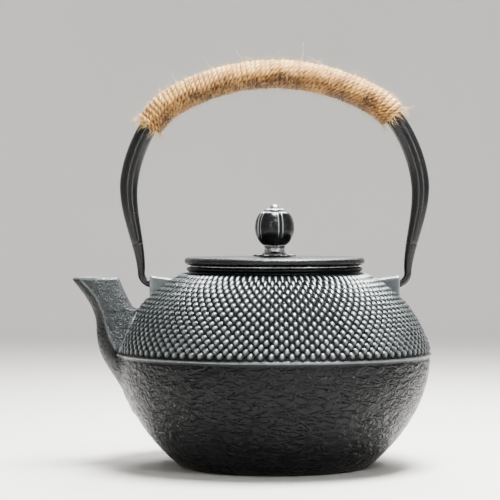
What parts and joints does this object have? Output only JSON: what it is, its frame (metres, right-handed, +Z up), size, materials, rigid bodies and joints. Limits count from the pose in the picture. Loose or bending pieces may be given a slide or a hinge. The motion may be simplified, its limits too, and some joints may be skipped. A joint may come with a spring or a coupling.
{
  "type": "cast iron teapot",
  "caption": "Squat round cast iron teapot with a hobnail shoulder, beak spout, flat lid with a bud knob, strainer basket and a swinging bail handle wound with twine.",
  "frame": {"origin": "centre of the flat base, on the surface the teapot stands on", "axes": "+Z up through the lid and knob; the spout points to -X; the bail's pins lie along X, so +Y is the shortest extent"},
  "size_m": [0.1982, 0.172, 0.2233],
  "materials": {
    "iron": "dark cast iron, satin, with fine casting grain and paler worn high points",
    "bail_paint": "satin black lacquer",
    "twine": "rough natural jute twine with loose fibres",
    "knob_metal": "smooth dark iron, satin sheen, paler on its edges",
    "rivet_steel": "hammered bright steel",
    "basket_steel": "polished stainless steel and fine stainless mesh"
  },
  "bodies": {
    "pot": {"pot_body": "iron"},
    "bail": {"bail_tube": "bail_paint", "bail_hook_left": "bail_paint", "bail_hook_right": "bail_paint", "grip_wrap": "twine"},
    "basket": {"basket_rim": "basket_steel", "basket_mesh": "basket_steel", "basket_cup": "basket_steel"},
    "lid": {"lid_plate": "iron", "knob_seat": "knob_metal", "knob_collar": "rivet_steel", "knob_bud": "knob_metal", "knob_flower": "rivet_steel", "knob_rivet": "rivet_steel", "rivet_washer": "rivet_steel"}
  },
  "joints": [
    {"name": "bail_swing", "type": "hinge", "parent": "pot", "child": "bail", "pos_m": [0, 0, 0.0999], "axis": [1, 0, 0], "range_deg": [-118, 118]},
    {"name": "basket_lift", "type": "slide", "parent": "pot", "child": "basket", "axis": [0, 0, 1], "range_m": [0, 0.055]},
    {"name": "lid_lift", "type": "slide", "parent": "basket", "child": "lid", "axis": [0, 0, 1], "range_m": [0, 0.055]}
  ]
}
